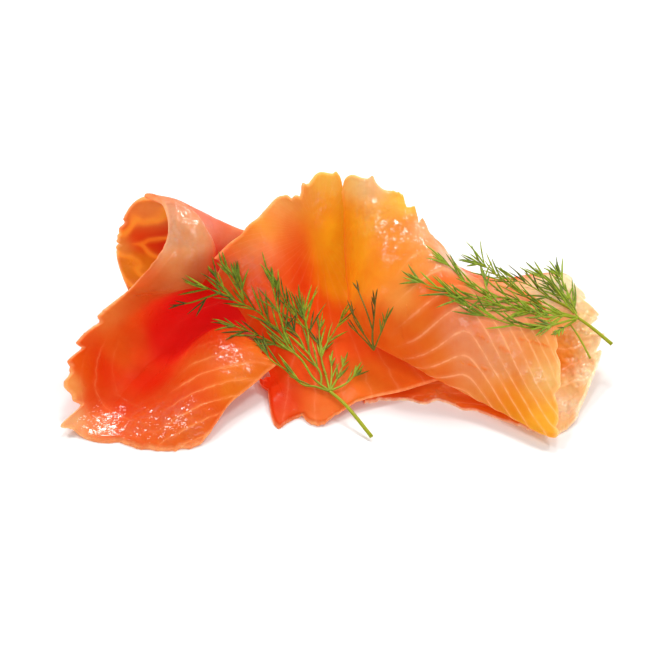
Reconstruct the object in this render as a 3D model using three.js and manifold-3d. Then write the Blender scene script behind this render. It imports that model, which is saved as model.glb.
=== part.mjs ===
// A heap of thin smoked salmon slices with sprigs of dill.
// Millimetres, +Z up. X runs along the heap, Y from its front to its back, and Z = 0 is the table.
import * as THREE from 'three';
import { mergeVertices } from 'three/addons/utils/BufferGeometryUtils.js';
import Module from 'manifold-3d';

const wasm = await Module();
wasm.setup();

const sliceThickness = 2.2;
const rimWidth = 0.028;
const lyingBelow = 3; // a sheet lower than this lies flat, so its rim comes down to the table
const stemRadius = 0.75;
const branchRadius = 0.55;
const stemSides = 4;

// Each slice is a thin sheet through a cage of points, one row for each line of the cage.
// The curled slice: a hairpin roll at the back whose front lip runs out into a shallow bowl.
const curledCage = [
  [[-26, 42, 0], [-39, 42, 0], [-51, 41, 0], [-64, 41, 0], [-74, 41, 0]], // foot of the back wall
  [[-25, 36, 18], [-38, 37, 19], [-50, 37, 20], [-64, 36, 21], [-77, 34, 22]],
  [[-25, 33, 28], [-37, 34, 31], [-49, 34, 34], [-63, 34, 35], [-76, 32, 36]],
  [[-25, 32, 32], [-37, 33, 37], [-47, 34, 41], [-59, 36, 45], [-70, 37, 46]],
  [[-25, 32, 33], [-36, 31, 38.5], [-45, 31, 44], [-53, 33, 48], [-61, 33, 50]], // top of the roll
  [[-26, 31, 29], [-39, 27, 35], [-45, 23, 42], [-50, 21, 47], [-57, 23, 47]],
  [[-28, 32, 24], [-40, 26, 28], [-44, 21, 36], [-49, 17, 40], [-59, 19, 39]], // folded lobe
  [[-30, 33, 17], [-42, 24, 20], [-48, 16, 29], [-58, 10, 31], [-69, 8, 31]],
  [[-31, 34, 12], [-45, 27, 12], [-57, 18, 17], [-69, 7, 22], [-81, 0, 24]], // crease under the lobe
  [[-27, 31, 9], [-46, 26, 7], [-60, 17, 8], [-76, 1, 13], [-89, -12, 18]],
  [[-25, 28, 7], [-46, 19, 5], [-61, 9, 2], [-78, -10, 6], [-91, -25, 12]], // left side of the bowl
  [[-24, 24, 6.5], [-46, 13, 5], [-59, 0, 0.8], [-73, -19, 0.8], [-86, -35, 2]],
  [[-24, 20, 6], [-44, 8, 9], [-53, -10, 7], [-60, -29, 3.5], [-65, -42, 1]], // front of the bowl
  [[-31, 8, 11.5], [-41, 3, 14], [-45, -12, 12], [-48, -31, 7], [-46, -41, 1]],
  [[-30, 2, 13], [-33, -3, 14], [-35, -9, 14], [-35, -18, 11], [-34, -25, 6]],
  [[-27, -1, 12], [-24, -4, 12.5], [-23, -7, 12.5], [-21, -8, 11.5], [-19, -9, 10]] // right corner
];

// The middle slice: its left side leans on the roll and falls to a valley, then to the table.
const centreCage = [
  [[-42, 17, 35], [-41, 19, 27], [-36, 17, 19.5], [-30.5, 13, 13], [-27.5, 2, 3.5], [-28, -9, 1]],
  [[-36, 22, 39], [-32, 17, 32], [-27, 10, 23], [-23, 4, 11], [-21, -6, 4], [-20, -31, 1]],
  [[-29, 25, 43], [-23, 17, 36], [-19, 8, 25], [-16, -2, 13], [-13, -14, 5], [-12, -26, 1]],
  [[-20, 38, 47], [-15, 28, 36], [-11, 19, 21], [-8, -1, 12], [-6, -17, 5], [-4, -30, 1.5]],
  [[-12, 39, 49], [-8, 34, 34], [-4, 26, 16], [0, 4, 10], [4, -12, 6.5], [10, -21, 4]],
  [[-4, 46, 52], [-3, 37, 36], [1, 29, 13.5], [10, 11, 8.5], [16, -3, 6], [24, -16, 4]],
  [[4, 47, 50], [6, 40, 32], [9, 32, 11], [19, 16, 6.5], [29, 3, 5], [39, -9, 4]]
];

// The right slice: draped over the heap, with its front edge folded under.
const rightCage = [
  [[2, 39, 54], [2, 33, 39], [2, 26, 20.5], [2, 17, 17], [3, 12, 14.5], [7, 17, 12]],
  [[15, 41, 53], [13, 27, 43], [11, 10, 32], [10, 0, 26], [11, -2, 17], [16, 8, 12.5]],
  [[25, 35, 50], [25, 20, 44], [22, 2, 36], [20, -8, 26], [21, -7, 13.5], [25, 2, 10.5]],
  [[35, 21, 43], [35, 5, 42], [33, -9, 36], [31, -15, 23], [33, -14, 11], [36, -8, 8.5]],
  [[43, 12, 36], [46, -2, 37], [46, -14, 31], [45, -19, 18], [47, -22, 8], [50, -15, 6]],
  [[56, 10, 30], [58, -3, 31], [60, -15, 25], [58, -22, 14], [60, -31, 6.5], [62, -25, 5]],
  [[69, 10, 25], [70, -5, 25], [72, -17, 18], [71, -28, 10], [71, -39, 5.5], [72, -34, 4.5]],
  [[75, 4, 20], [76, -8, 20], [77, -21, 16], [76, -29, 9], [75, -40, 5.5], [75, -37, 5]]
];

// The lowest slice is a mound under the others. Each row gives, at one X, the front edge's
// Y and Z, the crest's Y and Z, the back edge's Y, and how late the sheet climbs to the crest.
const moundSections = [
  [-3, -29, 1, 50, 33, 58, 8],
  [13, -18, 1, 49, 34, 59, 8],
  [29, -17, 1, 34, 35, 55, 3.4],
  [44, -20, 1, 19, 24, 46, 3],
  [59, -28, 1, 20, 18, 42, 2.6],
  [74, -35, 1, 22, 19.5, 43, 2.6],
  [84, -26, 3, 20, 21, 41, 2.2],
  [94, -8, 9, 15, 17, 36, 1.6]
];
const crestAt = 0.68;

// Torn places on an edge: where along it, how wide, and how deep as shares of the sheet.
// A depth below zero is a tongue that sticks out.
const tears = {
  slice_curled: {
    low: [[0.3, 0.06, 0.04]],
    high: [[0.25, 0.014, -0.03], [0.555, 0.012, 0.06], [0.632, 0.014, 0.04], [0.703, 0.016, -0.06],
      [0.78, 0.012, 0.03], [0.93, 0.02, 0.02]],
    first: [[0.5, 0.1, 0.01]],
    last: []
  },
  slice_centre: {
    low: [[0.32, 0.05, -0.02], [0.6, 0.02, 0.012], [0.71, 0.03, -0.03], [0.9, 0.06, -0.02], [1, 0.02, 0.09]],
    high: [[0.07, 0.04, 0.14], [0.35, 0.025, 0.02], [0.5, 0.03, -0.02]],
    first: [[0.1, 0.1, 0.06], [0.75, 0.05, 0.05], [0.9, 0.08, 0.12]],
    last: []
  },
  slice_right: {
    low: [[0, 0.02, 0.05], [0.05, 0.03, -0.02], [0.18, 0.05, 0.035], [0.325, 0.02, 0.04],
      [0.42, 0.03, 0.04], [0.62, 0.03, 0.03]],
    high: [],
    first: [[0.5, 0.2, 0.01]],
    last: [[0.3, 0.03, 0.03], [0.55, 0.03, 0.04], [0.75, 0.02, 0.03]]
  },
  slice_under: {
    low: [[0.25, 0.035, -0.02], [0.32, 0.03, 0.02], [0.43, 0.03, -0.03]],
    high: [[0.2, 0.06, 0.02], [0.55, 0.08, 0.03], [0.8, 0.06, 0.03]],
    first: [[0, 0.1, 0.12], [1, 0.12, 0.12]],
    last: [[0, 0.1, 0.16], [0.42, 0.04, 0.03], [1, 0.3, 0.22]]
  }
};

// Each sprig is a stem and its branches, from the cut end and the forks out to the tips.
const sprigs = {
  dill_left: {
    stem: [[13, -37, 1.6], [7, -29, 4.5], [3, -24, 6], [-2, -18, 8]],
    branches: [
      [[-2, -18, 8], [-7, -14.5, 9.5], [-15, -6, 16], [-25, 3, 23.5], [-38, 11, 25], [-48, 12, 27]],
      [[-2, -18, 8], [-5, -13, 11], [-9, -6, 15], [-12, 0, 20], [-16, 3, 26], [-23, 9, 40]],
      [[-15, -6, 16], [-23, -2, 16.5], [-30, 1, 17.5], [-40, 6, 18]],
      [[-2, -18, 8], [-8, -15, 9], [-15, -12, 10.5], [-20, -10.5, 13.5], [-24, -8, 16]],
      [[-5, -13, 11], [-4, -6, 14.5], [-2, -1, 17], [4, 3, 22]],
      [[-2, -18, 8], [3, -14, 9.5], [6, -9, 11]],
      [[-2, -18, 8], [4, -17, 8.5], [9, -13, 10]],
      [[-25, 3, 23.5], [-25, 4, 28.5], [-26, 6, 34]],
      [[-38, 11, 25], [-44, 11.5, 22.5], [-50, 12, 20.5]]
    ]
  },
  dill_middle: {
    stem: [[14, -10, 17], [13.5, -9.5, 21], [13.5, -9, 25]],
    branches: [
      [[13.5, -9, 25], [11.5, -5.5, 31], [9, 3.5, 32], [7, 11, 32]],
      [[13.5, -9, 25], [14.5, -6, 33], [14.5, 1, 38]],
      [[14, -10, 17], [11, -8, 21], [7, -2, 24.5], [6, 3, 27.5]],
      [[14, -10, 17], [17, -11, 26.5], [20, -8, 35.5]]
    ]
  },
  dill_right: {
    stem: [[96, -4, 15], [91, -1, 18], [85, 3, 20.5]],
    branches: [
      [[85, 3, 20.5], [77, 0, 24], [68, -2, 30.5], [59, 2, 33.5], [51, -2, 38.5], [40, -6, 43.5],
        [30, -3, 44], [21.5, 2, 43]],
      [[85, 3, 20.5], [81, 8, 25.5], [77, 13, 28], [72, 18, 29.5]],
      [[68, -2, 30.5], [61, 2, 35], [54, 6, 37.5], [48, 10, 40], [43.5, 14.5, 42.5]],
      [[51, -2, 38.5], [44, -4, 43], [37, -1, 46.5], [34, 3, 48]],
      [[85, 3, 20.5], [77, -5, 24], [66, -12, 30], [56, -15, 33.5], [47, -13, 38], [43, -12.5, 41]]
    ]
  },
  dill_right_small: {
    stem: [[88.5, -9.5, 13], [85, -4, 16.5], [81, -2, 19]],
    branches: [[[81, -2, 19], [79, -6, 22], [76, -10, 24]]]
  }
};

const clamp01 = (x) => Math.min(1, Math.max(0, x));

function splineWeights(f) {
  return [
    -0.5 * f + f * f - 0.5 * f ** 3,
    1 - 2.5 * f * f + 1.5 * f ** 3,
    0.5 * f + 2 * f * f - 1.5 * f ** 3,
    -0.5 * f * f + 0.5 * f ** 3
  ];
}

// A point on the smooth line through a row of values, at a share t of its length.
function splineAt(rows, t) {
  const last = rows.length - 1;
  const x = t * last;
  const i = Math.min(Math.max(Math.floor(x), 0), last - 1);
  const beyond = (k) => {
    if (k < 0) return rows[0].map((v, d) => 2 * v - rows[1][d]);
    if (k > last) return rows[last].map((v, d) => 2 * v - rows[last - 1][d]);
    return rows[k];
  };
  const weights = splineWeights(x - i);
  const out = rows[0].map(() => 0);
  weights.forEach((w, k) => {
    beyond(i - 1 + k).forEach((v, d) => {
      out[d] += w * v;
    });
  });
  return out;
}

function cageSurface(cage) {
  return (u, v) => new THREE.Vector3(...splineAt(cage.map((row) => splineAt(row, v)), u));
}

function moundSurface(u, v) {
  const [x, frontY, frontZ, crestY, crestZ, footY, lateness] = splineAt(moundSections, u);
  const climb = Math.min(v / crestAt, 1);
  const fall = Math.max(0, (v - crestAt) / (1 - crestAt)) * Math.PI / 2;
  const y = frontY + (crestY - frontY) * climb + (footY - crestY) * Math.sin(fall);
  const rise = (crestZ - frontZ) * Math.sin(Math.max(climb, 0) ** lateness * Math.PI / 2);
  return new THREE.Vector3(x, y, frontZ + rise - crestZ * (1 - Math.cos(fall)));
}

function tearDepth(list, t) {
  return list.reduce((sum, [at, width, depth]) => sum + depth * Math.exp(-(((t - at) / width) ** 2)), 0);
}

// Steps across the sheet, with one narrow step at each rim where the sheet thins to an edge.
function stepsAcross(count) {
  const steps = [0];
  for (let i = 0; i <= count; i += 1) {
    steps.push(rimWidth + (1 - 2 * rimWidth) * i / count);
  }
  steps.push(1);
  return steps;
}

// Closes a sheet surface into a thin solid whose top and bottom meet at the torn rim.
function sheetGeometry(surface, tear, alongCount, acrossCount) {
  const along = stepsAcross(alongCount);
  const across = stepsAcross(acrossCount);
  const middle = along.map((s) => across.map((t) => {
    const lowV = tearDepth(tear.low, s);
    const highV = 1 - tearDepth(tear.high, s);
    const lowU = tearDepth(tear.first, t);
    const highU = 1 - tearDepth(tear.last, t);
    return surface(lowU + (highU - lowU) * s, lowV + (highV - lowV) * t);
  }));
  const nA = along.length;
  const nB = across.length;
  const at = (a, b) => middle[Math.min(Math.max(a, 0), nA - 1)][Math.min(Math.max(b, 0), nB - 1)];
  const positions = [];
  const index = [[], []];
  [1, -1].forEach((side, layer) => {
    for (let a = 0; a < nA; a += 1) {
      index[layer].push([]);
      for (let b = 0; b < nB; b += 1) {
        const onRim = a === 0 || b === 0 || a === nA - 1 || b === nB - 1;
        if (layer === 1 && onRim) {
          index[1][a].push(index[0][a][b]);
        } else {
          const du = at(a + 1, b).clone().sub(at(a - 1, b));
          const dv = at(a, b + 1).clone().sub(at(a, b - 1));
          const normal = du.cross(dv).normalize();
          const half = onRim ? 0 : sliceThickness / 2;
          const p = middle[a][b].clone().addScaledVector(normal, side * half);
          p.z -= (sliceThickness / 2 - half) * clamp01((lyingBelow - middle[a][b].z) / 2);
          index[layer][a].push(positions.length / 3);
          positions.push(p.x, p.y, Math.max(0, p.z));
        }
      }
    }
  });
  const triangles = [];
  for (let a = 0; a < nA - 1; a += 1) {
    for (let b = 0; b < nB - 1; b += 1) {
      [0, 1].forEach((layer) => {
        const corner = index[layer];
        const quad = [corner[a][b], corner[a + 1][b], corner[a + 1][b + 1], corner[a][b + 1]];
        const ring = layer === 0 ? quad : quad.reverse();
        triangles.push(ring[0], ring[1], ring[2], ring[0], ring[2], ring[3]);
      });
    }
  }
  const geometry = new THREE.BufferGeometry();
  geometry.setAttribute('position', new THREE.Float32BufferAttribute(positions, 3));
  geometry.setIndex(triangles);
  return geometry;
}

function foodMaterial(color, roughness) {
  return new THREE.MeshStandardMaterial({ color, roughness, metalness: 0 });
}

function namedMesh(name, geometry, material) {
  const mesh = new THREE.Mesh(geometry, material);
  mesh.name = name;
  return mesh;
}

function solidFrom(geometry) {
  geometry.deleteAttribute('normal');
  geometry.deleteAttribute('uv');
  const merged = mergeVertices(geometry, 1e-4);
  return new wasm.Manifold(new wasm.Mesh({
    numProp: 3,
    vertProperties: new Float32Array(merged.attributes.position.array),
    triVerts: new Uint32Array(merged.index.array)
  }));
}

function strandSolid(points, radius) {
  const section = new THREE.Shape();
  for (let k = 0; k < stemSides; k += 1) {
    const angle = 2 * Math.PI * k / stemSides;
    const [x, y] = [radius * Math.cos(angle), radius * Math.sin(angle)];
    if (k === 0) section.moveTo(x, y);
    else section.lineTo(x, y);
  }
  section.closePath();
  const path = new THREE.CatmullRomCurve3(points.map((p) => new THREE.Vector3(...p)));
  const steps = 2 * (points.length - 1);
  return solidFrom(new THREE.ExtrudeGeometry(section, { steps, bevelEnabled: false, extrudePath: path }));
}

function sprigGeometry({ stem, branches }) {
  let solid = strandSolid(stem, stemRadius);
  branches.forEach((points) => {
    solid = solid.add(strandSolid(points, branchRadius));
  });
  const joined = solid.getMesh();
  const geometry = new THREE.BufferGeometry();
  geometry.setAttribute('position', new THREE.Float32BufferAttribute(joined.vertProperties, 3));
  geometry.setIndex([...joined.triVerts]);
  return geometry;
}

const heap = new THREE.Group();
heap.add(
  namedMesh('slice_curled', sheetGeometry(cageSurface(curledCage), tears.slice_curled, 34, 10),
    foodMaterial('#e9501f', 0.3)),
  namedMesh('slice_centre', sheetGeometry(cageSurface(centreCage), tears.slice_centre, 18, 16),
    foodMaterial('#ee6f28', 0.3)),
  namedMesh('slice_right', sheetGeometry(cageSurface(rightCage), tears.slice_right, 20, 14),
    foodMaterial('#f38f4e', 0.3)),
  namedMesh('slice_under', sheetGeometry(moundSurface, tears.slice_under, 20, 18),
    foodMaterial('#f29a5c', 0.35))
);
Object.entries(sprigs).forEach(([name, sprig]) => {
  heap.add(namedMesh(name, sprigGeometry(sprig), foodMaterial('#6f8a35', 0.6)));
});

// The heap stands on the origin: centred over it, with its lowest points on the table.
const bounds = new THREE.Box3().setFromObject(heap);
const middle = bounds.getCenter(new THREE.Vector3());
heap.children.forEach((mesh) => {
  mesh.position.set(-middle.x, -middle.y, -bounds.min.z);
});

export default heap;
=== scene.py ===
# Smoked salmon slices heaped on a table, with sprigs of dill laid on them.
# Cages are in millimetres, as the part's solids are; meshes are in metres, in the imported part's frame.
import math

import bpy
import numpy as np
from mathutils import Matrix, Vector, noise
from mathutils.bvhtree import BVHTree


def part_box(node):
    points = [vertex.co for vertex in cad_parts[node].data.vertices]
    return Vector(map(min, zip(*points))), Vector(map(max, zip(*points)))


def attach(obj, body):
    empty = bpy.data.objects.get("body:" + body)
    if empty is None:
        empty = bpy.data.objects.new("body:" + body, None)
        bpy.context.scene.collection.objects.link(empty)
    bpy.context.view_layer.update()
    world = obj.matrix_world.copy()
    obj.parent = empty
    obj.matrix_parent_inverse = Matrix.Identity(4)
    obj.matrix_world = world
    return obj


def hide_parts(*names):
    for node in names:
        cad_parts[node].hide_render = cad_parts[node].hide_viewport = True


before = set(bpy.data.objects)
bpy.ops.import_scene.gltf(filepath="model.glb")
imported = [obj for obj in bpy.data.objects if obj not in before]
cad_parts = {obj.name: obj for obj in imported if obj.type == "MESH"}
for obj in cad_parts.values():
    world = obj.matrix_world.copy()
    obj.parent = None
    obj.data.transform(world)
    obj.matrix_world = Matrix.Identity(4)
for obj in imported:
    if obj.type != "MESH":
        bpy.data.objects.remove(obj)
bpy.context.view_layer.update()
metre = 0.001
slant = np.array([0.0, -0.788, 0.616])  # the heap's open side: out to the front and up


# ---- sheets through cages of points

def splineWeights(f):
    return np.stack([
        -0.5 * f + f ** 2 - 0.5 * f ** 3,
        1 - 2.5 * f ** 2 + 1.5 * f ** 3,
        0.5 * f + 2 * f ** 2 - 1.5 * f ** 3,
        -0.5 * f ** 2 + 0.5 * f ** 3], axis=-1)


def splineSteps(t, rowCount):
    x = t * (rowCount - 1)
    first = np.clip(np.floor(x), 0, rowCount - 2).astype(int)
    return first, splineWeights(x - first)


def extendEnds(rows, axis):
    rows = np.moveaxis(rows, axis, 0)
    rows = np.concatenate([[2 * rows[0] - rows[1]], rows, [2 * rows[-1] - rows[-2]]])
    return np.moveaxis(rows, 0, axis)


def cageSurface(cage):
    points = np.array(cage, float)
    padded = extendEnds(extendEnds(points, 0), 1)

    def surface(u, v):
        rowAt, rowWeight = splineSteps(u, points.shape[0])
        colAt, colWeight = splineSteps(v, points.shape[1])
        out = np.zeros(u.shape + (3,))
        for i in range(4):
            for j in range(4):
                weight = rowWeight[..., i] * colWeight[..., j]
                out += weight[..., None] * padded[rowAt + i, colAt + j]
        return out

    return surface


def moundSurface(sections, crestAt):
    rows = extendEnds(np.array(sections, float), 0)

    def surface(u, v):
        rowAt, rowWeight = splineSteps(u, len(sections))
        values = sum(rowWeight[..., i, None] * rows[rowAt + i] for i in range(4))
        x, frontY, frontZ, crestY, crestZ, footY, lateness = np.moveaxis(values, -1, 0)
        climb = np.minimum(v / crestAt, 1)
        fall = np.maximum(0, (v - crestAt) / (1 - crestAt)) * math.pi / 2
        y = frontY + (crestY - frontY) * climb + (footY - crestY) * np.sin(fall)
        rise = (crestZ - frontZ) * np.sin(np.maximum(climb, 0) ** lateness * math.pi / 2)
        return np.stack([x, y, frontZ + rise - crestZ * (1 - np.cos(fall))], axis=-1)

    return surface


def tearDepth(tears, t):
    return sum((depth * np.exp(-((t - at) / width) ** 2) for at, width, depth in tears), np.zeros_like(t))


def waver(t, frequency, seed):
    values = [noise.noise(Vector((x * frequency, seed * 7.31, seed * 1.7))) for x in t]
    return np.array(values)


def nibbles(t, length, seed, size):
    # rounded bites with pointed teeth between them, in mm, along an edge of that length
    coarse = np.abs(waver(t, length / 4.6, seed)) * 3.0
    fine = np.abs(waver(t, length / 1.9, seed + 5)) * 1.3
    patchy = np.clip(waver(t, length / 17.0, seed + 9) * 3.0 + 0.45, 0.05, 1.6)
    return size * ((coarse + fine) * patchy - 0.35)


def lineLength(points):
    return np.linalg.norm(np.diff(points, axis=0), axis=-1).sum()


def runLengths(grid, axis):
    steps = np.linalg.norm(np.diff(grid, axis=axis), axis=-1)
    start = np.zeros_like(np.take(steps, [0], axis=axis))
    return np.concatenate([start, np.cumsum(steps, axis=axis)], axis=axis)


def gridNormals(grid):
    du = np.gradient(grid, axis=0)
    dv = np.gradient(grid, axis=1)
    normals = np.cross(du, dv)
    return normals / (np.linalg.norm(normals, axis=-1, keepdims=True) + 1e-12)


def noiseField(grid, size, octaves, seed):
    flat = grid.reshape(-1, 3) / size
    shift = Vector((seed * 3.1, seed * 5.7, seed * 1.3))
    values = [noise.fractal(Vector(p) + shift, 1.0, 2.0, octaves) for p in flat]
    return np.array(values).reshape(grid.shape[:2])


def coarseGrid(surface, along, across):
    return surface(*np.meshgrid(np.linspace(0, 1, along), np.linspace(0, 1, across), indexing="ij"))


def easedSteps(count, ease=0.35):
    # finer steps near both ends, where the sheet thins to its rim
    t = np.linspace(0, 1, count)
    return t - ease * np.sin(2 * math.pi * t) / (2 * math.pi)


# ---- torn outlines: how far each edge is cut into its sheet

def tearCuts(piece, sSteps, tSteps):
    steps = {"low": sSteps, "high": sSteps, "first": tSteps, "last": tSteps}
    return {edge: tearDepth(piece["tears"][edge], steps[edge]) for edge in steps}


def addNibbles(cuts, piece, sSteps, tSteps, lengthAlong, lengthAcross):
    rough = coarseGrid(piece["surface"], 60, 40)
    calm = np.clip(1 - tearDepth(piece["calmHigh"], sSteps), 0, 1)
    edges = (
        ("low", sSteps, rough[:, 0], lengthAcross, 1.0),
        ("high", sSteps, rough[:, -1], lengthAcross, calm),
        ("first", tSteps, rough[0], lengthAlong, 1.0),
        ("last", tSteps, rough[-1], lengthAlong, 1.0))
    for number, (edge, steps, line, span, share) in enumerate(edges):
        seed = piece["seed"] + 20 * number
        small = nibbles(steps, lineLength(line), seed, piece["bites"][edge])
        cuts[edge] = cuts[edge] + share * small / span
    return cuts


def tornGrid(cuts, sSteps, tSteps):
    s, t = np.meshgrid(sSteps, tSteps, indexing="ij")
    spanU = 1 - cuts["last"] - cuts["first"]
    spanV = 1 - cuts["high"] - cuts["low"]
    return cuts["first"] + spanU * s, cuts["low"][:, None] + spanV[:, None] * t


# ---- where the heap lies: the cages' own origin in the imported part's frame

def coarseBox(piece):
    sSteps = np.linspace(0, 1, 160)
    tSteps = np.linspace(0, 1, 90)
    grid = piece["surface"](*tornGrid(tearCuts(piece, sSteps, tSteps), sSteps, tSteps))
    return grid.reshape(-1, 3).min(0), grid.reshape(-1, 3).max(0)


def heapOrigin(pieces):
    shifts = []
    for piece in pieces:
        low, high = coarseBox(piece)
        boxLow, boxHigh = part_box(piece["node"])
        middle = (np.array(boxLow) + np.array(boxHigh)) / (2 * metre)
        shifts.append(middle - (low + high) / 2)
    shift = np.median(np.array(shifts), axis=0)
    return np.array([shift[0], shift[1], 0.0])


def toFrame(points, origin):
    return (np.asarray(points, float) + origin) * metre


# ---- slices

def hexToLinear(code):
    channels = [int(code[i:i + 2], 16) / 255 for i in (1, 3, 5)]
    return [c / 12.92 if c <= 0.04045 else ((c + 0.055) / 1.055) ** 2.4 for c in channels]


def nearness(points, place, radius):
    return np.exp(-((points - np.array(place)) ** 2).sum(-1) / radius ** 2)


def toneField(points, base, tones):
    # a blend of the tones around each point; the gain leaves room for the painted glow that the flesh gives
    # off
    gain = np.array([0.69, 0.67, 0.50])
    total = np.full(points.shape[:-1] + (1,), 0.10)
    colour = total * np.array(hexToLinear(base))
    for x, y, z, radius, tone in tones:
        weight = nearness(points, (x, y, z), radius)[..., None]
        colour = colour + weight * np.array(hexToLinear(tone))
        total = total + weight
    return gain * colour / total


def spotField(points, spots):
    field = np.zeros(points.shape[:-1])
    for x, y, z, radius, strength in spots:
        field = np.maximum(field, strength * nearness(points, (x, y, z), radius))
    return field


def noBulge(u, v, lengthAlong, lengthAcross):
    return np.zeros_like(u)


def smoothStep(x):
    x = np.clip(x, 0, 1)
    return x * x * (3 - 2 * x)


def ridge(phase, width):
    # 1 on every whole number of the phase, falling off to both sides
    return np.exp(-((phase - np.round(phase)) / width) ** 2)


def edgeDistances(grid):
    runU = runLengths(grid, 0)
    runV = runLengths(grid, 1)
    return {"first": runU, "last": runU[-1:] - runU, "low": runV, "high": runV[:, -1:] - runV}


def surfaceLift(piece, middle, fromRim, phase, strength, band, shine):
    # swells and wrinkles, in mm along the normal, calmer at the rim
    swell = piece["swell"]
    seed = piece["seed"]
    lift = swell["broad"] * noiseField(middle, 11.0, 2, seed)
    lift += swell["ruffle"] * noiseField(middle, 4.0, 2, seed + 3) * np.exp(-fromRim / 5.0)
    lift += swell["crinkle"] * shine * noiseField(middle, 2.6, 2, seed + 6)
    lift -= swell["groove"] * strength * ridge(phase, 0.08) + 0.35 * band
    return lift * np.clip(fromRim / 2.0, 0.25, 1)


def halfThickness(piece, fromEdge):
    rimRound = 1.5
    edges = [edge for edge in fromEdge if edge not in piece["feather"]]
    thin = np.clip(np.minimum.reduce([fromEdge[edge] for edge in edges]) / rimRound, 0, 1)
    return piece["thickness"] / 2 * np.sqrt(np.clip(1 - (1 - thin) ** 2, 0, 1))


def featherEdges(piece, fromEdge, t, facing, half, lift):
    # a feathered edge thins to nothing and sinks onto the slice under it
    for edge, (width, sinks) in piece["feather"].items():
        wedge = np.clip(fromEdge[edge] / width, 0.02, 1)
        sink = np.interp(t, np.linspace(0, 1, len(sinks)), sinks)
        half = half * wedge
        lift = lift - facing * (piece["thickness"] / 2 * (1 - wedge) + sink * (1 - wedge) ** 2)
    return half, lift


def bothSides(middle, normals, half, fullHalf):
    # the sheet's two faces; where it lies on the table its thin rim is lowered onto it
    clearance = 0.02
    drop = (fullHalf - half) * np.clip((3.0 - middle[..., 2]) / 2, 0, 1)
    sheets = []
    for side in (1, -1):
        sheet = middle + normals * (side * half)[..., None]
        sheet[..., 2] -= drop
        sheets.append(sheet)
    raised = np.maximum(clearance - np.minimum(sheets[0][..., 2], sheets[1][..., 2]), 0)
    for sheet in sheets:
        sheet[..., 2] += raised
    return sheets


def closedFaces(along, across):
    # the two faces of the sheet share the points of their rim, so the skin is closed
    top = np.arange(along * across).reshape(along, across)
    inner = np.zeros((along, across), bool)
    inner[1:-1, 1:-1] = True
    bottom = top.copy()
    bottom[inner] = along * across + np.arange(inner.sum())
    faces = []
    for layer, flip in ((top, False), (bottom, True)):
        ring = [layer[:-1, :-1], layer[1:, :-1], layer[1:, 1:], layer[:-1, 1:]]
        if flip:
            ring = ring[::-1]
        faces.append(np.stack([r.ravel() for r in ring], axis=-1))
    return np.concatenate(faces), inner


def buildSlice(piece, origin):
    along, across = piece["steps"]
    sSteps = easedSteps(along)
    tSteps = easedSteps(across)
    rough = coarseGrid(piece["surface"], 60, 40)
    meanAlong = runLengths(rough, 0)[-1].mean()
    meanAcross = runLengths(rough, 1)[:, -1].mean()
    cuts = addNibbles(tearCuts(piece, sSteps, tSteps), piece, sSteps, tSteps, meanAlong, meanAcross)
    u, v = tornGrid(cuts, sSteps, tSteps)
    middle = piece["surface"](u, v)
    fromEdge = edgeDistances(middle)
    fromRim = np.minimum.reduce(list(fromEdge.values()))
    pale = np.zeros_like(u)
    for edge, width in piece["paleEdges"].items():
        pale = np.maximum(pale, np.clip(1 - fromEdge[edge] / width, 0, 1) ** 1.5)
    phase, run, strength, band = piece["stripes"](middle, u, v, meanAlong, meanAcross)
    shine = spotField(middle, piece["shine"])

    middle = middle + gridNormals(middle) * piece["bulge"](u, v, meanAlong, meanAcross)[..., None]
    normals = gridNormals(middle)
    lift = surfaceLift(piece, middle, fromRim, phase, strength, band, shine)
    facing = np.sign((normals @ slant).mean())
    half, lift = featherEdges(piece, fromEdge, tSteps, facing, halfThickness(piece, fromEdge), lift)
    middle = middle + normals * lift[..., None]
    sheets = bothSides(middle, normals, half, piece["thickness"] / 2)
    faces, inner = closedFaces(along, across)
    vertices = np.concatenate([sheets[0].reshape(-1, 3), sheets[1][inner]])

    def onBoth(field):
        return np.concatenate([field.reshape(-1), field[inner]])

    mesh = bpy.data.meshes.new(piece["name"])
    mesh.from_pydata(toFrame(vertices, origin).tolist(), [], faces.tolist())
    mesh.shade_smooth()
    paint = toneField(vertices, piece["base"], piece["tones"])
    addAttribute(mesh, "paint", "FLOAT_COLOR", np.concatenate([paint, np.ones((len(paint), 1))], axis=1))
    grain = np.stack([onBoth(phase), onBoth(run), onBoth(strength)], axis=-1)
    addAttribute(mesh, "grain", "FLOAT_VECTOR", grain)
    for name, field in (("pale", pale), ("band", band), ("shine", shine)):
        addAttribute(mesh, name, "FLOAT", onBoth(field))
    mesh.materials.append(piece["material"]())
    print("slice", piece["name"], len(vertices), "points", len(faces), "faces")
    return standIn(mesh, piece)


def standIn(mesh, piece):
    obj = bpy.data.objects.new(piece["name"], mesh)
    bpy.context.scene.collection.objects.link(obj)
    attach(obj, "root")
    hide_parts(piece["node"])
    return obj


def addAttribute(mesh, name, kind, values):
    attribute = mesh.attributes.new(name, kind, "POINT")
    field = {"FLOAT": "value", "FLOAT_VECTOR": "vector", "FLOAT_COLOR": "color"}[kind]
    attribute.data.foreach_set(field, np.asarray(values, np.float32).ravel())


# ---- shader node groups

def newGroup(name, inputs, outputs):
    group = bpy.data.node_groups.new(name, "ShaderNodeTree")
    for label, kind, value in inputs:
        socket = group.interface.new_socket(label, in_out="INPUT", socket_type=kind)
        socket.default_value = value
    for label, kind in outputs:
        group.interface.new_socket(label, in_out="OUTPUT", socket_type=kind)
    start = group.nodes.new("NodeGroupInput")
    end = group.nodes.new("NodeGroupOutput")
    return group, start, end


def addNode(tree, kind, **settings):
    node = tree.nodes.new(kind)
    for key, value in settings.items():
        setattr(node, key, value)
    return node


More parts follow.
